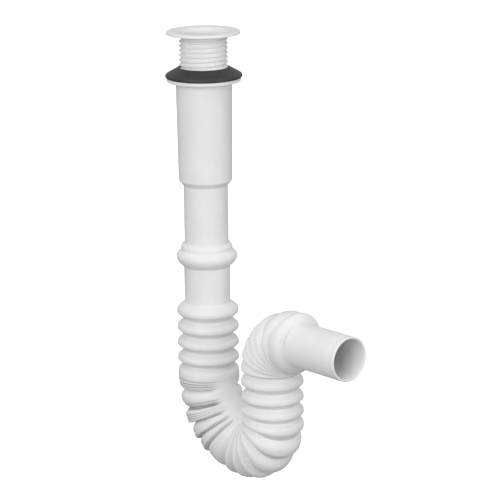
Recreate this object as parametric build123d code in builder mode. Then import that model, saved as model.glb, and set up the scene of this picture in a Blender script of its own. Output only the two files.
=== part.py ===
from build123d import *
from cmath import exp
from math import copysign, cos, radians, sin
import os

# Flexible basin trap: a basin waste, a rubber washer, a sleeve nut with its tube, and a bellows hose that
# is pushed on to the tube, bends round to hold the water seal and ends in an outlet spigot.
# Millimetres. The origin is the centre of the flange's underside, which seats on the basin.
# +Z is up, and +X is the way the outlet points.

os.makedirs("parts", exist_ok=True)

# Basin waste
flange_diameter = 63.5
flange_thickness = 2.4
flange_rounding = 0.9
thread_diameter = 41.8  # over the crests of the thread
shank_length = 78.0
shank_wall = 2.9
shank_chamfer = 1.0
mouth_rounding = 3.5  # from the top of the flange into the bore
bar_width = 2.6  # cross bars that keep things out of the pipe
bar_height = 5.0
bar_drop = 7.0  # from the flange's underside to the top of the bars

# Basin washer
basin_room = 28.6  # from the flange's underside to the washer
thread_clearance = 0.2  # round the crests of the thread
washer_land = 0.9  # flat ring at the top of the cone
washer_height = 9.0
washer_overhang = 1.3  # past the flange of the sleeve nut
washer_rim = 2.8  # height of the upright rim
washer_chamfer = 0.8

# Tailpiece: sleeve nut and tube in one
washer_gap = 0.1
nut_flange_overhang = 0.05  # past the flange of the waste
nut_flange_thickness = 3.2
nut_flange_chamfer = 0.5
nut_root_rounding = 1.5  # under the flange, round the sleeve
sleeve_wall = 3.1  # round the thread, at the top
sleeve_length = 86.5  # from under the flange to the foot
sleeve_taper = 1.15  # how much the radius shrinks down to the foot
sleeve_thread_length = 70.0
sleeve_foot_wall = 2.5
sleeve_foot_height = 4.4  # cone from the sleeve in to the tube
tube_diameter = 38.2
tube_wall = 1.6
tube_length = 94.5

# Seal ring
seal_clearance = 0.15
seal_section = 5.2  # from the tube to the bottom of the groove
seal_height = 11.0
seal_crown = 4.0  # height of the outer face
seal_edge = 1.2  # chamfer where the tube enters and leaves

# Hose: socket and cuff
tube_inside = 43.4  # how far the tube reaches into the hose
slip_clearance = 0.1  # between the tube and the cuff
hose_wall = 0.7
collar_step = 2.5  # the lip's collar stands out from the cuff
collar_drop = 3.0  # from the lip to the collar
collar_height = 2.8
neck_step = 0.2
neck_drop = 6.2  # from the lip to the neck between collar and bead
bead_drop = 11.3  # from the lip to the middle of the bead
bead_wall = 1.75
bead_foot = 8.6  # from the middle of the bead to the cuff
cuff_length = 53.0  # from the lip to the first fold

# Hose: folds, in order from the cuff. Widths are as the hose was pulled and bent, and fill the bellows.
root_step = 1.4  # the roots of the inlet's folds stand out from the cuff
inlet_depth = 5.6
inlet_widths = (15.5, 14, 14, 13)
pulled_depth = 6.0
pulled_widths = (19, 13)
stepped_depth = 6.0
stepped_widths = (16, 12, 10)
stepped_swell = 2.5  # how far their outside stands out past the other crests
bend_depth = 4.4
bend_widths = (17, 10, 8, 8, 12, 10, 10)
riser_depth = 4.4
riser_widths = (13, 13, 14, 9)
top_depth = 3.2
top_widths = (8, 8, 8, 7, 7)
crest_share = 0.3  # of a fold's width
even_crest_share = 0.5  # where the middle of the crest lies in the width of an even fold
stepped_crest_share = 0.72

# Hose: route. A bend is given by the radius of its inside, where the folds close up.
inlet_run = 64.4  # straight, from the cuff down to the U-bend
u_bend_inside = 29.9
u_bend_angle = 84.6
heel_inside = 2.8  # the tighter second half of the U-bend
riser_run = 47.5
top_bend_inside = 2.1
shoulder_crest = 0.8  # from the top bend to the last crest
shoulder_length = 8.0  # from the last crest to the spigot
spigot_diameter = 38.4
spigot_wall = 2.0
spigot_length = 58.2
spigot_chamfer = 0.5

# Radii and heights that follow from these
flange_radius = flange_diameter / 2
thread_radius = thread_diameter / 2
bore_radius = thread_radius - shank_wall
nut_bore_radius = thread_radius + thread_clearance
washer_top = -basin_room
washer_bottom = washer_top - washer_height
nut_flange_radius = flange_radius + nut_flange_overhang
washer_radius = nut_flange_radius + washer_overhang
nut_top = washer_bottom - washer_gap
nut_flange_bottom = nut_top - nut_flange_thickness
sleeve_top_radius = nut_bore_radius + sleeve_wall
sleeve_foot_radius = sleeve_top_radius - sleeve_taper
sleeve_foot = nut_flange_bottom - sleeve_length
sleeve_thread_end = nut_top - sleeve_thread_length
sleeve_foot_bore_radius = sleeve_foot_radius - sleeve_foot_wall
tube_radius = tube_diameter / 2
tube_bore_radius = tube_radius - tube_wall
tube_top = sleeve_foot - sleeve_foot_height
tube_end = tube_top - tube_length
lip = tube_end + tube_inside
socket_bore_radius = tube_radius + slip_clearance
cuff_radius = socket_bore_radius + hose_wall
collar_radius = cuff_radius + collar_step
seal_inner_radius = tube_radius + seal_clearance
seal_edge_radius = seal_inner_radius + seal_edge
seal_outer_radius = seal_inner_radius + seal_section
groove_radius = seal_outer_radius + seal_clearance
groove_half_floor = seal_crown / 2 + seal_clearance
groove_half_height = seal_height / 2 + seal_clearance
bead_radius = groove_radius + bead_wall
bead_middle = lip - bead_drop
fold_start = lip - cuff_length
fold_radius = cuff_radius + root_step + inlet_depth
u_bend_radius = u_bend_inside + fold_radius
heel_radius = heel_inside + fold_radius
heel_angle = 180 - u_bend_angle
top_bend_radius = top_bend_inside + fold_radius
spigot_radius = spigot_diameter / 2

# The route as runs of a length that turn through an angle, first down and then round to +X
route = (
    (inlet_run, 0),
    (u_bend_radius * radians(u_bend_angle), u_bend_angle),
    (heel_radius * radians(heel_angle), heel_angle),
    (riser_run, 0),
    (top_bend_radius * radians(90), -90),
    (shoulder_crest + shoulder_length + spigot_length, 0),
)
bellows_length = sum(length for length, turn in route[:-1])
spigot_start = bellows_length + shoulder_crest + shoulder_length


def station(distance):
    """The plane across the hose at a distance along its route, and 1 / bend radius there.

    The plane's X axis points to the inside of a bend to the left, such as the U-bend.
    """
    place = complex(0, fold_start)
    heading = complex(0, -1)
    for length, turn in route:
        run = min(distance, length)
        angle = radians(turn) * run / length
        swing = (exp(1j * angle) - 1) / (1j * angle) if angle else 1
        place += heading * run * swing
        heading *= exp(1j * angle)
        distance -= run
        if distance <= 0:
            break
    plane = Plane(
        origin=(place.real, 0, place.imag),
        x_dir=(-heading.imag, 0, heading.real),
        z_dir=(heading.real, 0, heading.imag),
    )
    return plane, radians(turn) / length


def ring(distance, depth, wall):
    """Plane, centre and two radii of the hose's section where it lies a depth below the crests.

    On the inside of a bend the folds close up, and on the outside they are pulled flatter, half as much.
    A depth below 0 stands out past the crests, on the outside of the bend only.
    """
    plane, bend = station(distance)
    closing = fold_radius * abs(bend)
    inside = max(depth, 0) * (1 - closing)
    outside = depth * (1 - closing / 2)
    shift = copysign(outside - inside, bend) / 2
    radius = fold_radius - (inside + outside) / 2 - wall
    side_radius = fold_radius - max(depth, 0) - wall
    return plane, (shift, 0), (radius, side_radius)


def fold_rings(crest_flat, spigot_inset):
    """The rings, as (distance, depth), of each fold from root to root, and last of the shoulder.

    crest_flat is the width of a fold's crest, as a share of the fold, or 0 for a sharp crest.
    """
    stretches = (
        (inlet_widths, inlet_depth, even_crest_share, 0),
        (pulled_widths, pulled_depth, even_crest_share, 0),
        (stepped_widths, stepped_depth, stepped_crest_share, stepped_swell),
        (bend_widths, bend_depth, even_crest_share, 0),
        (riser_widths, riser_depth, even_crest_share, 0),
        (top_widths, top_depth, even_crest_share, 0),
    )
    sizes = [(width, *shape) for widths, *shape in stretches for width in widths]
    scale = bellows_length / sum(width for width, *shape in sizes)
    next_depths = [depth for width, depth, place, swell in sizes[1:]] + [0]
    root = (0, fold_radius - cuff_radius)
    folds = []
    for (width, depth, place, swell), next_depth in zip(sizes, next_depths):
        middle = root[0] + width * scale * place
        half_crest = crest_flat * width * scale / 2
        crest = [(middle - half_crest, -swell), (middle + half_crest, -swell)]
        if not crest_flat:
            crest = [(middle, -swell)]
        next_root = (root[0] + width * scale, (depth + next_depth) / 2)
        folds.append([root, *crest, next_root])
        root = next_root
    fall = fold_radius - spigot_radius + spigot_inset
    last_crest = bellows_length + shoulder_crest
    shoulder = [root]
    for turn in (0, 30, 60, 90):
        angle = radians(turn)
        shoulder.append((last_crest + shoulder_length * sin(angle), fall * (1 - cos(angle))))
    return [*folds, shoulder]


# Basin waste: flange, shank and cross bars in one moulding
with BuildPart() as waste_body:
    with BuildSketch(Plane.XZ):
        with BuildLine():
            Polyline(
                (bore_radius, flange_thickness - mouth_rounding),
                (bore_radius, -shank_length),
                (thread_radius - shank_chamfer, -shank_length),
                (thread_radius, -shank_length + shank_chamfer),
                (thread_radius, 0),
                (flange_radius, 0),
                (flange_radius, flange_thickness),
                (bore_radius + mouth_rounding, flange_thickness),
            )
            mouth_centre = (bore_radius + mouth_rounding, flange_thickness - mouth_rounding)
            CenterArc(mouth_centre, mouth_rounding, 90, 90)
        make_face()
    revolve(axis=Axis.Z)
    rim = waste_body.edges().filter_by(GeomType.CIRCLE).group_by(SortBy.RADIUS)[-1].sort_by(Axis.Z)[-1]
    fillet(rim, radius=flange_rounding)
    with BuildSketch(Plane.XY.offset(-bar_drop - bar_height)):
        bar_length = 2 * bore_radius + shank_wall
        Rectangle(bar_length, bar_width)
        Rectangle(bar_width, bar_length)
    extrude(amount=bar_height)

# Basin washer: a rubber cone that centres itself in the hole of the basin
with BuildPart() as basin_washer:
    with BuildSketch(Plane.XZ):
        with BuildLine():
            Polyline(
                (nut_bore_radius, washer_top),
                (nut_bore_radius + washer_land, washer_top),
                (washer_radius, washer_bottom + washer_rim),
                (washer_radius, washer_bottom),
                (nut_bore_radius, washer_bottom),
                close=True,
            )
        make_face()
    revolve(axis=Axis.Z)
    chamfer(basin_washer.edges().filter_by(GeomType.CIRCLE).group_by(SortBy.RADIUS)[-1], length=washer_chamfer)

# Tailpiece: the flange that presses the washer, the sleeve nut and the tube in one moulding
with BuildPart() as tailpiece:
    with BuildSketch(Plane.XZ):
        with BuildLine():
            Polyline(
                (nut_bore_radius, nut_top),
                (nut_flange_radius, nut_top),
                (nut_flange_radius, nut_flange_bottom),
                (sleeve_top_radius, nut_flange_bottom),
                (sleeve_foot_radius, sleeve_foot),
                (tube_radius, tube_top),
                (tube_radius, tube_end),
                (tube_bore_radius, tube_end),
                (tube_bore_radius, tube_top),
                (sleeve_foot_bore_radius, sleeve_foot),
                (sleeve_foot_bore_radius, sleeve_thread_end),
                (nut_bore_radius, sleeve_thread_end),
                close=True,
            )
        make_face()
    revolve(axis=Axis.Z)
    circles = tailpiece.edges().filter_by(GeomType.CIRCLE)
    nut_rim = circles.group_by(SortBy.RADIUS)[-1]
    nut_root = circles.filter_by_position(Axis.Z, nut_flange_bottom, nut_flange_bottom).sort_by(SortBy.RADIUS)[0]
    chamfer(nut_rim, length=nut_flange_chamfer)
    fillet(nut_root, radius=nut_root_rounding)

# Seal ring: rubber, in the groove inside the bead of the socket, round the tube
with BuildPart() as seal_ring:
    with BuildSketch(Plane.XZ):
        with BuildLine():
            Polyline(
                (seal_inner_radius, bead_middle + seal_height / 2 - seal_edge),
                (seal_edge_radius, bead_middle + seal_height / 2),
                (seal_outer_radius, bead_middle + seal_crown / 2),
                (seal_outer_radius, bead_middle - seal_crown / 2),
                (seal_edge_radius, bead_middle - seal_height / 2),
                (seal_inner_radius, bead_middle - seal_height / 2 + seal_edge),
                close=True,
            )
        make_face()
    revolve(axis=Axis.Z)

# The hose's hollow, from the mouth of the socket to the mouth of the spigot
with BuildPart() as hollow:
    with BuildSketch(Plane.XZ):
        with BuildLine():
            Polyline(
                (0, lip),
                (socket_bore_radius, lip),
                (socket_bore_radius, bead_middle + groove_half_height),
                (seal_edge_radius, bead_middle + groove_half_height),
                (groove_radius, bead_middle + groove_half_floor),
                (groove_radius, bead_middle - groove_half_floor),
                (seal_edge_radius, bead_middle - groove_half_height),
                (socket_bore_radius, bead_middle - groove_half_height),
                (socket_bore_radius, fold_start),
                (0, fold_start),
                close=True,
            )
        make_face()
    revolve(axis=Axis.Z)
    for fold in fold_rings(crest_flat=0, spigot_inset=spigot_wall - hose_wall):
        for distance, depth in fold:
            plane, centre, radii = ring(distance, depth, hose_wall)
            with BuildSketch(plane):
                with Locations(centre):
                    Ellipse(*radii)
        loft(ruled=True)
    with BuildSketch(station(spigot_start)[0]):
        Circle(spigot_radius - spigot_wall)
    extrude(amount=spigot_length)

# Hose: socket, cuff, bellows and spigot, blown in one piece
with BuildPart() as flexible_hose:
    with BuildSketch(Plane.XZ):
        with BuildLine():
            Polyline(
                (0, lip),
                (cuff_radius, lip),
                (collar_radius, lip - collar_drop),
                (collar_radius, lip - collar_drop - collar_height),
                (collar_radius - neck_step, lip - neck_drop),
            )
            ThreePointArc(
                (collar_radius - neck_step, lip - neck_drop),
                (bead_radius, bead_middle),
                (cuff_radius, bead_middle - bead_foot),
            )
            Polyline(
                (cuff_radius, bead_middle - bead_foot),
                (cuff_radius, fold_start),
                (0, fold_start),
                (0, lip),
            )
        make_face()
    revolve(axis=Axis.Z)
    for fold in fold_rings(crest_flat=crest_share, spigot_inset=0):
        for distance, depth in fold:
            plane, centre, radii = ring(distance, depth, 0)
            with BuildSketch(plane):
                with Locations(centre):
                    Ellipse(*radii)
        loft(ruled=True)
    with BuildSketch(station(spigot_start)[0]):
        Circle(spigot_radius)
    extrude(amount=spigot_length)
    add(hollow.part, mode=Mode.SUBTRACT)
    tip = flexible_hose.edges().filter_by(GeomType.CIRCLE).group_by(Axis.X)[-1]
    chamfer(tip, length=spigot_chamfer)

waste_body.part.label = "waste_body"
export_step(waste_body.part, "parts/waste_body.step")
basin_washer.part.label = "basin_washer"
export_step(basin_washer.part, "parts/basin_washer.step")
tailpiece.part.label = "tailpiece"
export_step(tailpiece.part, "parts/tailpiece.step")
seal_ring.part.label = "seal_ring"
export_step(seal_ring.part, "parts/seal_ring.step")
flexible_hose.part.label = "flexible_hose"
export_step(flexible_hose.part, "parts/flexible_hose.step")
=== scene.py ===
from math import cos, pi, radians, sin, tan

import bmesh
import bpy
from mathutils import Matrix, Vector


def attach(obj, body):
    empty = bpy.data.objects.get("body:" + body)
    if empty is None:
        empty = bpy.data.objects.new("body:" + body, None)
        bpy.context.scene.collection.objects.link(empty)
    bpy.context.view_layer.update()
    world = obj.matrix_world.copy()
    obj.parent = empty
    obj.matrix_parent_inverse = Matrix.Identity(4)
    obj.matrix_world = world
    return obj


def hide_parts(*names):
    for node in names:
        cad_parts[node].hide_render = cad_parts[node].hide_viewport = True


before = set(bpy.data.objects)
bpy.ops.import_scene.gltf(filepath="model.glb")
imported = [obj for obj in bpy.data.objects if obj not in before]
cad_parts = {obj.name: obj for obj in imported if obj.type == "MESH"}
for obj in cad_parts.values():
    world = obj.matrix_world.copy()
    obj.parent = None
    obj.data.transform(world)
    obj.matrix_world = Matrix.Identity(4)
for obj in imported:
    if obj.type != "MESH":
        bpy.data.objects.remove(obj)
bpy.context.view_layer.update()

# Basin waste. One injection moulding of white polypropylene: a thin round flange that lies on the basin's
# floor, a dished mouth, cross bars that catch larger things, and a threaded shank that goes down through the
# basin's hole. The thread is cut into the mould, so its ridges are soft at their edges.
MM = 0.001
same_place = 1e-6


def select_at(piece, places):
    """Selects only the vertices at these places, in edit mode."""
    bpy.ops.mesh.select_all(action="DESELECT")
    wire = bmesh.from_edit_mesh(piece.data)
    for vertex in wire.verts:
        vertex.select_set(any((vertex.co - place).length < same_place for place in places))
    bmesh.update_edit_mesh(piece.data)


def half_section(name, corners):
    """A new object with a turned piece's half section: a closed wire of (radius, height, rounding) in mm."""
    bpy.ops.object.select_all(action="DESELECT")
    bpy.ops.mesh.primitive_plane_add(size=1)
    piece = bpy.context.object
    piece.name = piece.data.name = name
    bpy.ops.object.mode_set(mode="EDIT")
    bpy.ops.mesh.select_all(action="SELECT")
    bpy.ops.mesh.merge(type="CENTER")
    places = [Vector((radius, 0, height)) * MM for radius, height, rounding in corners]
    bpy.ops.transform.translate(value=places[0])
    for here, there in zip(places, places[1:]):
        bpy.ops.mesh.extrude_region_move(TRANSFORM_OT_translate={"value": there - here})
    select_at(piece, [places[0], places[-1]])
    bpy.ops.mesh.edge_face_add()
    for rounding in sorted({corner[2] for corner in corners if corner[2]}):
        select_at(piece, [place for place, corner in zip(places, corners) if corner[2] == rounding])
        bpy.ops.mesh.bevel(offset=rounding * MM, segments=5, affect="VERTICES")
    bpy.ops.object.mode_set(mode="OBJECT")
    return piece


def face_out(piece):
    """Turns the faces of the selected piece outwards, and shades it smooth except over its sharp edges."""
    bpy.context.view_layer.objects.active = piece
    bpy.ops.object.mode_set(mode="EDIT")
    bpy.ops.mesh.select_all(action="SELECT")
    bpy.ops.mesh.normals_make_consistent(inside=False)
    bpy.ops.object.mode_set(mode="OBJECT")
    bpy.ops.object.shade_smooth_by_angle(angle=radians(40))


def turn(piece, steps):
    """Spins the half section round the vertical axis and closes its seam."""
    bpy.context.view_layer.objects.active = piece
    bpy.ops.object.mode_set(mode="EDIT")
    bpy.ops.mesh.select_all(action="SELECT")
    bpy.ops.mesh.spin(steps=steps, angle=2 * pi, center=(0, 0, 0), axis=(0, 0, 1))
    bpy.ops.mesh.select_all(action="SELECT")
    bpy.ops.mesh.remove_doubles(threshold=same_place)
    bpy.ops.object.mode_set(mode="OBJECT")
    face_out(piece)


moulding_steps = 112
flange_radius = 31.75
flange_top = 2.4
mouth_radius = 22.4
shank_bore = 18.0
shank_end = -78.0
thread_crest = 20.9
thread_root = 19.3
thread_pitch = 4.0
thread_turns = 19
thread_end = shank_end + 1.1
ridge_foot = thread_root - 0.3
waste = half_section("basin_waste", [
    (shank_bore, -1.1, 2.4),
    (shank_bore, shank_end, 0.4),
    (thread_root, shank_end, 0.6),
    (thread_root, 0.0, 0.5),
    (flange_radius, 0.0, 0.5),
    (flange_radius, flange_top, 1.0),
    (mouth_radius, flange_top, 1.6),
    (19.6, 0.9, 1.6),
])
turn(waste, moulding_steps)

# The thread's ridge, its foot sunk into the shank, swept up from the shank's end by the pitch at each turn
ridge = half_section("thread_ridge", [
    (ridge_foot, 1.45, 0),
    (thread_root, 1.3, 0.3),
    (thread_crest, 0.5, 0.35),
    (thread_crest, -0.5, 0.35),
    (thread_root, -1.3, 0.3),
    (ridge_foot, -1.45, 0),
])
bpy.ops.object.mode_set(mode="EDIT")
bpy.ops.mesh.select_all(action="SELECT")
bpy.ops.transform.translate(value=(0, 0, thread_end * MM))
bpy.ops.object.mode_set(mode="OBJECT")
sweep = ridge.modifiers.new("pitch", "SCREW")
sweep.screw_offset = thread_pitch * MM
sweep.iterations = thread_turns
sweep.steps = sweep.render_steps = 64
sweep.use_smooth_shade = True
bpy.ops.object.modifier_apply(modifier=sweep.name)
face_out(ridge)

# The cross bars, rounded on top where water runs over them
bar_size = Vector((37.0, 2.6, 5.0)) * MM
bar_height = -9.5
bars = []
for quarter in (0, 1):
    bpy.ops.object.select_all(action="DESELECT")
    bpy.ops.mesh.primitive_cube_add(size=1)
    bar = bpy.context.object
    bpy.ops.object.mode_set(mode="EDIT")
    bpy.ops.mesh.select_all(action="SELECT")
    bpy.ops.transform.resize(value=bar_size)
    bpy.ops.mesh.bevel(offset=0.7 * MM, segments=3)
    bpy.ops.mesh.select_all(action="SELECT")
    bpy.ops.transform.translate(value=(0, 0, bar_height * MM))
    bpy.ops.transform.rotate(value=quarter * pi / 2, orient_axis="Z", center_override=(0, 0, 0))
    bpy.ops.object.mode_set(mode="OBJECT")
    face_out(bar)
    bars.append(bar)
bpy.ops.object.select_all(action="DESELECT")
for moulded in (ridge, *bars, waste):
    moulded.select_set(True)
bpy.context.view_layer.objects.active = waste
bpy.ops.object.join()


def linear(hex_colour):
    """Linear colour of an sRGB hex value."""
    shares = [int(hex_colour[i:i + 2], 16) / 255 for i in (1, 3, 5)]
    return [s / 12.92 if s <= 0.04045 else ((s + 0.055) / 1.055) ** 2.4 for s in shares] + [1]


def add_node(tree, kind, values=None, links=None, **settings):
    """Adds a node with its settings, the values of its inputs and the links to them."""
    new = tree.nodes.new(kind)
    for name, value in settings.items():
        setattr(new, name, value)
    for socket, value in (values or {}).items():
        new.inputs[socket].default_value = value
    for socket, source in (links or {}).items():
        tree.links.new(source, new.inputs[socket])
    return new


# Injection-moulded polypropylene: milky white, satin from the mould, with slow changes in its gloss where the
# melt flowed, and a very fine grain, made coarser than it is so that it shows.
melt_flow = 25 * MM
mould_grain = 1.2 * MM
moulded_polypropylene = bpy.data.materials.new("moulded_polypropylene")
moulded_polypropylene.use_nodes = True
tree = moulded_polypropylene.node_tree
shader = tree.nodes["Principled BSDF"]
shader.inputs["IOR"].default_value = 1.49
shader.inputs["Specular IOR Level"].default_value = 0.4
place = add_node(tree, "ShaderNodeTexCoord").outputs["Object"]
flow = add_node(
    tree, "ShaderNodeTexNoise", {"Scale": 1 / melt_flow, "Detail": 3, "Roughness": 0.5}, {"Vector": place},
).outputs["Fac"]
tone = add_node(tree, "ShaderNodeValToRGB", links={"Fac": flow})
tone.color_ramp.elements[0].position = 0.3
tone.color_ramp.elements[0].color = linear("#EAEBEB")
tone.color_ramp.elements[1].position = 0.7
tone.color_ramp.elements[1].color = linear("#F0F0EF")
tree.links.new(tone.outputs["Color"], shader.inputs["Base Color"])
gloss = add_node(tree, "ShaderNodeMapRange", {"To Min": 0.34, "To Max": 0.46}, {"Value": flow})
tree.links.new(gloss.outputs["Result"], shader.inputs["Roughness"])
grain = add_node(
    tree, "ShaderNodeTexNoise", {"Scale": 1 / mould_grain, "Detail": 2}, {"Vector": place},
).outputs["Fac"]
relief = add_node(tree, "ShaderNodeBump", {"Strength": 0.12, "Distance": 0.05 * MM}, {"Height": grain})
tree.links.new(relief.outputs["Normal"], shader.inputs["Normal"])
waste.data.materials.clear()
waste.data.materials.append(moulded_polypropylene)
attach(waste, "waste")
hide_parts("waste_body")

# Basin washer. Black rubber pressed in a mould: a cone that centres itself in the basin's hole, with a soft
# rounded rim that stands a little past the flange of the nut under it. It is loose on the thread.
washer_bore = 21.1
washer_top = -28.6
washer_foot = -37.6
washer = half_section("basin_washer_rubber", [
    (washer_bore, washer_top, 0.25),
    (22.0, washer_top, 0.4),
    (32.5, -34.5, 1.0),
    (33.1, -35.5, 0.5),
    (32.9, washer_foot, 0.9),
    (washer_bore, washer_foot, 0.25),
])
turn(washer, moulding_steps)

# Moulded rubber: nearly black, dull, with the fine pits of the mould, made coarser than they are so that
# they show, and a faint bloom.
bloom_patch = 6 * MM
mould_pit = 0.8 * MM
moulded_rubber = bpy.data.materials.new("moulded_rubber")
moulded_rubber.use_nodes = True
tree = moulded_rubber.node_tree
shader = tree.nodes["Principled BSDF"]
shader.inputs["IOR"].default_value = 1.52
shader.inputs["Specular IOR Level"].default_value = 0.6
place = add_node(tree, "ShaderNodeTexCoord").outputs["Object"]
bloom = add_node(
    tree, "ShaderNodeTexNoise", {"Scale": 1 / bloom_patch, "Detail": 4, "Roughness": 0.6}, {"Vector": place},
).outputs["Fac"]
tone = add_node(tree, "ShaderNodeValToRGB", links={"Fac": bloom})
tone.color_ramp.elements[0].position = 0.35
tone.color_ramp.elements[0].color = linear("#28292A")
tone.color_ramp.elements[1].position = 0.75
tone.color_ramp.elements[1].color = linear("#323334")
tree.links.new(tone.outputs["Color"], shader.inputs["Base Color"])
gloss = add_node(tree, "ShaderNodeMapRange", {"To Min": 0.42, "To Max": 0.6}, {"Value": bloom})
tree.links.new(gloss.outputs["Result"], shader.inputs["Roughness"])
pits = add_node(
    tree, "ShaderNodeTexNoise", {"Scale": 1 / mould_pit, "Detail": 2}, {"Vector": place},
).outputs["Fac"]
relief = add_node(tree, "ShaderNodeBump", {"Strength": 0.2, "Distance": 0.05 * MM}, {"Height": pits})
tree.links.new(relief.outputs["Normal"], shader.inputs["Normal"])
washer.data.materials.clear()
washer.data.materials.append(moulded_rubber)
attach(washer, "washer")
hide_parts("basin_washer")

# Tailpiece. One injection moulding of white polypropylene: the flange that presses the washer, the long
# sleeve nut that screws on the shank, and the plain tube under it that the hose is pushed on.
nut_bore = 21.1
nut_top = -37.7
nut_flange = 31.8
nut_thread_end = -107.7
relief_bore = 20.55
sleeve_end = -127.4
tube_radius = 19.1
tube_bore = 17.5
tube_top = -131.8
tube_end = -226.3
tail = half_section("sleeve_nut_and_tube", [
    (nut_bore, nut_top, 0.25),
    (nut_flange, nut_top, 0.5),
    (nut_flange, -40.9, 0.9),
    (24.2, -40.9, 1.5),
    (23.05, sleeve_end, 0.7),
    (tube_radius, tube_top, 0.5),
    (tube_radius, tube_end, 0.5),
    (tube_bore, tube_end, 0.3),
    (tube_bore, tube_top, 0.5),
    (relief_bore, sleeve_end, 0.5),
    (relief_bore, nut_thread_end, 0.2),
    (nut_bore, nut_thread_end, 0.2),
])
turn(tail, moulding_steps)
tail.data.materials.clear()
tail.data.materials.append(moulded_polypropylene)
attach(tail, "tail")
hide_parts("tailpiece")

# Seal ring. Rubber, pressed into the groove inside the hose's bead, where it grips the tube. The solid has
# its whole shape, so it stays and only gets its finish.
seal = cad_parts["seal_ring"]
seal.data.materials.clear()
seal.data.materials.append(moulded_rubber)

# Hose. Blow-moulded in one piece from white polypropylene: a socket with a lip and a bead, a cuff, bellows
# that were pulled and bent by hand into the U-bend and the top bend, and a plain outlet spigot.
hose_steps = 96
lip = -182.9
fold_start = -235.9
crest = 26.9
cuff = 19.9
socket_bore = 19.2
groove_mouth = 20.45
groove = 24.6
hose_wall = 0.7
root_wall = hose_wall * 0.75
shoulder_crest = 0.8
shoulder_length = 8.0
spigot = 19.2
spigot_bore = 17.2
spigot_length = 58.18
inlet_run = 64.4
u_bend = 56.8
u_bend_angle = 84.6
heel = 29.7
riser_run = 47.5
top_bend = 29.0
u_end = inlet_run + u_bend * radians(u_bend_angle)
heel_end = u_end + heel * radians(180 - u_bend_angle)
top_start = heel_end + riser_run
bellows_length = top_start + top_bend * pi / 2

# Each kind of fold, as (share of its width, share of its depth below the crest). Regular ones are round, and
# those that were pulled open keep the marks of the mould or a sharp step.
round_fold = [
    (0.05, 0.88), (0.1, 0.72), (0.15, 0.55), (0.2, 0.39), (0.25, 0.25), (0.3, 0.14), (0.37, 0.05),
    (0.46, 0.01), (0.56, 0.0), (0.61, 0.02), (0.65, 0.09), (0.7, 0.24), (0.78, 0.47), (0.86, 0.7),
    (0.94, 0.91),
]
riser_fold = [(1 - along, below) for along, below in reversed(round_fold)]
barrel_fold = [
    (0.04, 0.66), (0.08, 0.4), (0.13, 0.2), (0.2, 0.07), (0.3, 0.01), (0.42, 0.0), (0.5, 0.0),
    (0.552, 0.12), (0.575, 0.02), (0.63, 0.02), (0.682, 0.15), (0.705, 0.05), (0.76, 0.07),
    (0.812, 0.21), (0.835, 0.12), (0.88, 0.18), (0.925, 0.36), (0.945, 0.36), (0.97, 0.66),
]
marked_fold = [
    (0.07, 0.62), (0.13, 0.36), (0.2, 0.17), (0.3, 0.04), (0.42, 0.0), (0.54, 0.02), (0.63, 0.07),
    (0.69, 0.13), (0.75, 0.3), (0.78, 0.21), (0.83, 0.28), (0.885, 0.5), (0.915, 0.44), (0.95, 0.72),
]
stepped_fold = [
    (0.08, 0.68), (0.17, 0.42), (0.28, 0.22), (0.38, 0.12), (0.44, 0.26), (0.48, 0.1), (0.55, 0.06),
    (0.61, 0.22), (0.65, 0.05), (0.72, 0.02), (0.78, 0.18), (0.82, 0.01), (0.88, 0.0), (0.92, 0.06),
    (0.96, 0.5),
]
flared_fold = [
    (0.08, 0.74), (0.2, 0.48), (0.34, 0.28), (0.48, 0.16), (0.56, 0.11), (0.62, 0.26), (0.68, 0.07),
    (0.78, 0.02), (0.88, 0.0), (0.92, 0.05), (0.96, 0.5),
]
wide_fold = [
    (0.05, 0.66), (0.1, 0.4), (0.16, 0.2), (0.24, 0.08), (0.33, 0.04), (0.37, 0.1), (0.41, 0.02),
    (0.5, 0.0), (0.58, 0.0), (0.62, 0.07), (0.66, 0.01), (0.74, 0.06), (0.82, 0.2), (0.89, 0.42),
    (0.95, 0.72),
]
shoulder_fold = [
    (0.08, 0.68), (0.16, 0.42), (0.26, 0.2), (0.38, 0.06), (0.55, 0.0), (0.7, 0.0), (0.85, 0.0),
]
lined_folds = (barrel_fold, marked_fold, stepped_fold)

# The folds from the cuff to the spigot, as (width, depth, kind). Their widths are scaled to fit the bellows.
folds = [(width, 6.4, round_fold) for width in (15.5, 14, 14, 13)]
folds += [(19, 6.6, barrel_fold), (13, 6.4, marked_fold), (11, 6.4, stepped_fold)]
folds += [(11, 6.4, flared_fold), (10, 6.4, flared_fold), (19, 5.4, wide_fold)]
folds += [(width, 5.2, riser_fold) for width in (9, 8, 8, 13, 12, 10.5)]
folds += [(width, 5.4, riser_fold) for width in (13, 13, 14, 9)]
folds += [(width, 3.4, riser_fold) for width in (6.2, 5.3, 6.7, 7.3)]
folds += [(8.2, 4.6, riser_fold), (5.8, 4.6, shoulder_fold)]
scale = bellows_length / sum(width for width, depth, form in folds)

# How far some of them stand out past the crest on the outside of the U-bend, by their place in the row
swells = {6: 2.2, 7: 2.2, 8: 1.6}

# The straight hose's outer wall as (radius, height): lip, bead and cuff first
outside = [
    (19.4, lip), (19.95, lip - 0.15), (20.7, lip - 0.6), (21.5, lip - 1.4), (22.05, lip - 2.3),
    (22.35, lip - 3.2), (22.4, lip - 4.4), (22.25, lip - 5.4), (22.3, lip - 6.0), (22.9, lip - 6.6),
    (24.1, lip - 7.5), (25.2, lip - 8.5), (25.95, lip - 9.6), (26.35, lip - 10.9), (26.4, lip - 12.2),
    (26.2, lip - 13.5), (25.75, lip - 14.8), (25.0, lip - 16.2), (24.0, lip - 17.5), (22.75, lip - 18.7),
    (21.45, lip - 19.7), (20.5, lip - 20.3), (20.15, lip - 20.9), (20.05, lip - 22.0), (20.0, -212.0),
    (cuff, -224.0), (19.8, -234.6),
]
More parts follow.
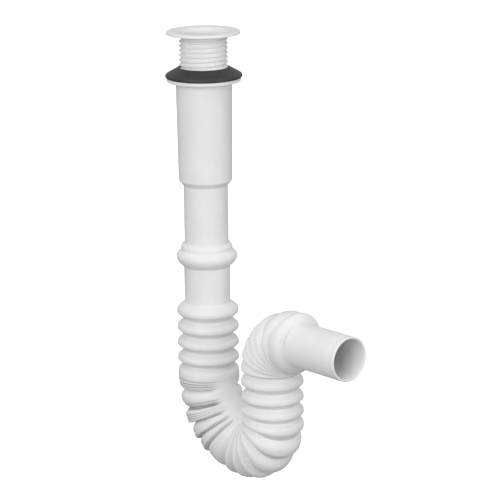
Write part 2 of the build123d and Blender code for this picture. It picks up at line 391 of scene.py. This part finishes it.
# Its inner wall: the socket's bore, with the groove for the seal
inside = [
    (socket_bore, lip), (socket_bore, -188.4), (groove_mouth, -188.55), (groove, -192.05),
    (groove, -196.35), (groove_mouth, -199.85), (socket_bore, -200.0), (socket_bore, -234.5),
]
# The bellows. Each root's depth lies midway between those of its two folds, the inner wall follows with fewer
# points, and line_points are the bottoms of the mould's marks.
start = fold_start
root_depth = crest - cuff
line_points = []
for row, (width, depth, form) in enumerate(folds):
    next_depth = (depth + folds[row + 1][1]) / 2 if row + 1 < len(folds) else 0
    outside.append((crest - root_depth, start))
    inside.append((crest - root_depth - root_wall, start))
    for point, (along, below) in enumerate(form):
        previous, following = form[point - 1][1], form[(point + 1) % len(form)][1]
        if form in lined_folds and previous < below > following:
            line_points.append(len(outside))
        height = start - along * width * scale
        sunk = below * (root_depth if along < 0.5 else next_depth)
        swell = swells.get(row, 0) * (1 - below)
        outside.append((crest + swell - sunk, height))
        if along in (form[2][0], form[5][0], form[-2][0]):
            inside.append((crest - sunk - hose_wall, height))
    start -= width * scale
    root_depth = next_depth

# The last crest, the round shoulder and the spigot, with a fine trim line near its mouth
inner_crest = crest - hose_wall
outside.append((crest, start))
inside.append((inner_crest, start))
last_crest = start - shoulder_crest
for degrees in range(0, 91, 9):
    narrowed = 1 - cos(radians(degrees))
    height = last_crest - shoulder_length * sin(radians(degrees))
    outside.append((crest - (crest - spigot) * narrowed, height))
    if degrees % 18 == 0:
        inside.append((inner_crest - (inner_crest - spigot_bore) * narrowed, height))
tip = last_crest - shoulder_length - spigot_length
outside += [
    (spigot, tip + 30), (spigot, tip + 15), (spigot, tip + 5.4), (spigot - 0.15, tip + 5.0),
    (spigot, tip + 4.6), (spigot, tip + 0.9), (spigot - 0.25, tip + 0.3), (spigot - 0.8, tip),
]
inside += [
    (spigot_bore, tip + 20), (spigot_bore, tip + 0.9), (spigot_bore + 0.25, tip + 0.3),
    (spigot_bore + 0.7, tip),
]
hose = half_section("bellows_hose", [(radius, height, 0) for radius, height in outside + inside[::-1]])
inner_wall = hose.vertex_groups.new(name="inner_wall")
inner_wall.add(list(range(len(outside), len(outside) + len(inside))), 1, "REPLACE")
mould_line = hose.vertex_groups.new(name="mould_line")
mould_line.add(line_points, 1, "REPLACE")
turn(hose, hose_steps)
# How much painted shade the bottom of each mould mark gets in the hose's colour: the share of its depth it
# keeps.
painted_line_shade = hose.data.attributes.new("painted_line_shade", "FLOAT", "POINT")


def held(value):
    """The value, held between 0 and 1."""
    return min(max(value, 0), 1)


# The folds close up on the inside of each bend, which is +Y of the straight hose in the U-bend and -Y in the
# top bend. Each bend: where it starts and ends along the bellows, that side, and the share of its depth that
# a fold keeps on the inside, at the sides and on the outside, where the top bend's folds were pulled flatter.
bends = [
    (inlet_run, u_end, 1, (0.0, 1.0, 1.0)),
    (u_end, heel_end, 1, (0.0, 1.0, 0.95)),
    (top_start, bellows_length, -1, (0.0, 1.0, 0.4)),
]
# A bend fades in and out over bend_fade. A fold is closed where it faces inwards by closed_at or more, with 1
# for straight inwards, and has its full depth where it faces inwards by closing less than that.
bend_fade = 12
closed_at = 0.97
closing = 0.22

# The rings also lean over where the hose was forced round: (place along the bellows, how far the ring there
# lies further on at its +Y side).
u_bend_leans = [(57, 0), (76, 4.5), (89, 12), (104, 15), (150, 15), (190, 10), (214, 0)]
top_bend_leans = [
    (top_start + 8, 0), (bellows_length - 14, 3.5), (bellows_length - 5.8, 7), (bellows_length + 0.8, 4),
    (bellows_length + shoulder_crest + shoulder_length, 0),
]
for vertex in hose.data.vertices:
    along = fold_start - vertex.co.z / MM
    radius = Vector((vertex.co.x, vertex.co.y)).length
    toward = vertex.co.y / radius
    u_bend_part = max(0.5 + 0.5 * toward, 0) ** 1.5
    top_bend_part = max(toward, 0) ** 2
    for leans, part in ((u_bend_leans, u_bend_part), (top_bend_leans, top_bend_part)):
        for (before, shift), (after, next_shift) in zip(leans, leans[1:]):
            if before <= along < after:
                share = (along - before) / (after - before)
                vertex.co.z -= (shift + (next_shift - shift) * share) * part * MM
    if along <= 0 or along >= bellows_length + shoulder_crest:
        continue
    kept = 1.0
    swollen = 0.0
    for first, last, side, (at_inside, at_side, at_outside) in bends:
        near = held((along - first) / bend_fade + 0.5) * held((last - along) / bend_fade + 0.5)
        inward = side * toward
        swollen = max(swollen, near * max(-inward, 0) ** 1.5)
        if inward > 0:
            ease = held((closed_at - inward) / closing)
            share = at_inside + (at_side - at_inside) * ease * ease * (3 - 2 * ease)
        else:
            share = at_side + (at_outside - at_side) * inward * inward
        kept -= near * (1 - share)
    groups = [entry.group for entry in vertex.groups]
    full = (inner_crest if inner_wall.index in groups else crest) * MM
    # The share of its depth that a mould mark keeps is how much painted shade its bottom gets.
    if mould_line.index in groups:
        painted_line_shade.data[vertex.index].value = max(kept, 0)
    # What stands out past the crest does so only on the outside of a bend
    if radius > full:
        kept = swollen
    eased = (full - (full - radius) * max(kept, 0)) / radius
    vertex.co.x *= eased
    vertex.co.y *= eased

# The route that it was bent along: a curve that starts at the flange and goes straight down, so that the
# straight hose keeps its place on it. Each run is (length, 0) or (radius of an arc, its angle), and a place
# in the plane of X and Z is a complex number.
spare_run = 20
runs = [(-fold_start + inlet_run, 0)]
runs += [(u_bend, u_bend_angle / 2)] * 2 + [(heel, (180 - u_bend_angle) / 2)] * 2 + [(riser_run, 0)]
runs += [(top_bend, -45)] * 2 + [(shoulder_crest + shoulder_length + spigot_length + spare_run, 0)]
spot = complex(0, 0)
heading = complex(0, -1)
knots = [[spot, heading, 0, 0]]
for extent, degrees in runs:
    if degrees:
        swing = complex(cos(radians(degrees)), sin(radians(degrees)))
        centre = spot + heading * complex(0, 1 if degrees > 0 else -1) * extent
        reach = 4 / 3 * tan(radians(abs(degrees)) / 4) * extent
        spot = centre + (spot - centre) * swing
        heading = heading * swing
    else:
        reach = extent / 3
        spot = spot + heading * extent
    knots[-1][3] = reach
    knots.append([spot, heading, reach, reach])
bpy.ops.object.select_all(action="DESELECT")
bpy.ops.curve.primitive_bezier_curve_add()
route = bpy.context.object
route.data.dimensions = "3D"
route.data.twist_mode = "MINIMUM"
route.data.resolution_u = 48
spline = route.data.splines[0]
spline.bezier_points.add(len(knots) - 2)
for point, (spot, heading, before, after) in zip(spline.bezier_points, knots):
    point.handle_left_type = point.handle_right_type = "FREE"
    handle_before = spot - heading * before
    handle_after = spot + heading * after
    point.co = Vector((spot.real, 0, spot.imag)) * MM
    point.handle_left = Vector((handle_before.real, 0, handle_before.imag)) * MM
    point.handle_right = Vector((handle_after.real, 0, handle_after.imag)) * MM
bend = hose.modifiers.new("route", "CURVE")
bend.object = route
bend.deform_axis = "NEG_Z"
bpy.context.view_layer.objects.active = hose
bpy.ops.object.modifier_apply(modifier=bend.name)
bpy.data.objects.remove(route)
bpy.ops.object.select_all(action="DESELECT")
hose.select_set(True)
bpy.ops.object.shade_smooth_by_angle(angle=radians(75))

# Blow-moulded polypropylene: a thin wall, softer and a little duller than the moulded pieces, with faint
# streaks where it was drawn, painted shade that greys the bottoms of the mould's marks, and a fine grain,
# made coarser than it is so that it shows.
drawn_streak = 18 * MM
blown_grain = 2.5 * MM
blown_polypropylene = bpy.data.materials.new("blown_polypropylene")
blown_polypropylene.use_nodes = True
tree = blown_polypropylene.node_tree
shader = tree.nodes["Principled BSDF"]
shader.inputs["IOR"].default_value = 1.49
shader.inputs["Specular IOR Level"].default_value = 0.35
place = add_node(tree, "ShaderNodeTexCoord").outputs["Object"]
flow = add_node(
    tree, "ShaderNodeTexNoise", {"Scale": 1 / drawn_streak, "Detail": 3, "Roughness": 0.5}, {"Vector": place},
).outputs["Fac"]
tone = add_node(tree, "ShaderNodeValToRGB", links={"Fac": flow})
tone.color_ramp.elements[0].position = 0.3
tone.color_ramp.elements[0].color = linear("#E9E9E9")
tone.color_ramp.elements[1].position = 0.7
tone.color_ramp.elements[1].color = linear("#EFEFEF")
# Painted shade: the bottoms of the mould's marks are mixed towards grey, as far as the mark keeps its depth.
line_shade = add_node(tree, "ShaderNodeAttribute", attribute_name="painted_line_shade").outputs["Fac"]
line_shaded_colour = add_node(
    tree, "ShaderNodeMixRGB", {"Color2": linear("#ACACAC")}, {"Fac": line_shade, "Color1": tone.outputs["Color"]},
)
tree.links.new(line_shaded_colour.outputs["Color"], shader.inputs["Base Color"])
gloss = add_node(tree, "ShaderNodeMapRange", {"To Min": 0.38, "To Max": 0.52}, {"Value": flow})
tree.links.new(gloss.outputs["Result"], shader.inputs["Roughness"])
grain = add_node(
    tree, "ShaderNodeTexNoise", {"Scale": 1 / blown_grain, "Detail": 3}, {"Vector": place},
).outputs["Fac"]
relief = add_node(tree, "ShaderNodeBump", {"Strength": 0.15, "Distance": 0.08 * MM}, {"Height": grain})
tree.links.new(relief.outputs["Normal"], shader.inputs["Normal"])
hose.data.materials.clear()
hose.data.materials.append(blown_polypropylene)
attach(hose, "hose")
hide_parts("flexible_hose")

# Floor. A plain pale studio floor, low enough that the hose clears it wherever it is slid. The camera sees it
# white, while it lights the trap from below as grey paper does.
floor_size = 12
floor_level = -0.46
bpy.ops.object.select_all(action="DESELECT")
bpy.ops.mesh.primitive_plane_add(size=floor_size, location=(0, 0, floor_level))
floor = bpy.context.object
floor.name = "studio_floor"
bpy.ops.object.transform_apply(location=True)
paper = bpy.data.materials.new("white_paper_floor")
paper.use_nodes = True
tree = paper.node_tree
shader = tree.nodes["Principled BSDF"]
shader.inputs["Base Color"].default_value = linear("#989898")
shader.inputs["Roughness"].default_value = 0.9
shader.inputs["Specular IOR Level"].default_value = 0.1
seen = add_node(tree, "ShaderNodeLightPath").outputs["Is Camera Ray"]
lift = add_node(tree, "ShaderNodeEmission", {"Color": linear("#FFFFFF")}, {"Strength": seen})
both = add_node(tree, "ShaderNodeAddShader", links={0: shader.outputs["BSDF"], 1: lift.outputs["Emission"]})
tree.links.new(both.outputs["Shader"], tree.nodes["Material Output"].inputs["Surface"])
floor.data.materials.append(paper)

# Camera. A long lens a little above the middle of the trap, as in the photograph, fitted to its rims and the
# centre line of the pipe.
azimuth = radians(48.82)
elevation = radians(14.2)
roll = radians(-0.73)
aim_across = 37.64
aim_height = -190.9
camera_distance = 2.0588
aim = Vector((aim_across * cos(azimuth), aim_across * sin(azimuth), aim_height)) * MM
back = Vector((sin(azimuth) * cos(elevation), -cos(azimuth) * cos(elevation), sin(elevation)))
right = Vector((cos(azimuth), sin(azimuth), 0))
up = back.cross(right)
right_rolled = right * cos(roll) + up * sin(roll)
up_rolled = up * cos(roll) - right * sin(roll)
stand = Matrix.Translation(aim + back * camera_distance)
lens = bpy.data.cameras.new("product_camera")
lens.lens = 170
lens.sensor_width = 36
camera = bpy.data.objects.new("product_camera", lens)
bpy.context.scene.collection.objects.link(camera)
camera.matrix_world = stand @ Matrix((right_rolled, up_rolled, back)).transposed().to_4x4()
bpy.context.scene.camera = camera
bpy.context.scene.view_settings.view_transform = "Standard"

# Studio light. A white room all round, a large soft lamp in front on the left, a weaker one on the right and
# a faint one overhead. Each lamp: how far right of the aim, nearer the camera and above, its size and power.
room_light = 0.59
room_seen = 1.0
world = bpy.data.worlds.new("white_room")
bpy.context.scene.world = world
world.use_nodes = True
tree = world.node_tree
room = tree.nodes["Background"]
room.inputs["Color"].default_value = linear("#FFFFFF")
seen = add_node(tree, "ShaderNodeLightPath").outputs["Is Camera Ray"]
shown = add_node(tree, "ShaderNodeMapRange", {"To Min": room_light, "To Max": room_seen}, {"Value": seen})
tree.links.new(shown.outputs["Result"], room.inputs["Strength"])
level_back = Vector((sin(azimuth), -cos(azimuth), 0))
for name, across, nearer, above, size, power in (
    ("key_softbox", -0.7, 1.7, 0.65, 1.2, 16.5),
    ("fill_softbox", 1.3, 1.0, 0.3, 1.0, 6),
    ("top_softbox", 0.0, 0.2, 1.5, 1.2, 2),
):
    lamp = bpy.data.lights.new(name, "AREA")
    lamp.size = size
    lamp.energy = power
    lamp_object = bpy.data.objects.new(name, lamp)
    bpy.context.scene.collection.objects.link(lamp_object)
    lamp_place = aim + right * across + level_back * nearer + Vector((0, 0, above))
    lamp_object.location = lamp_place
    lamp_object.rotation_euler = (aim - lamp_place).to_track_quat("-Z", "Y").to_euler()
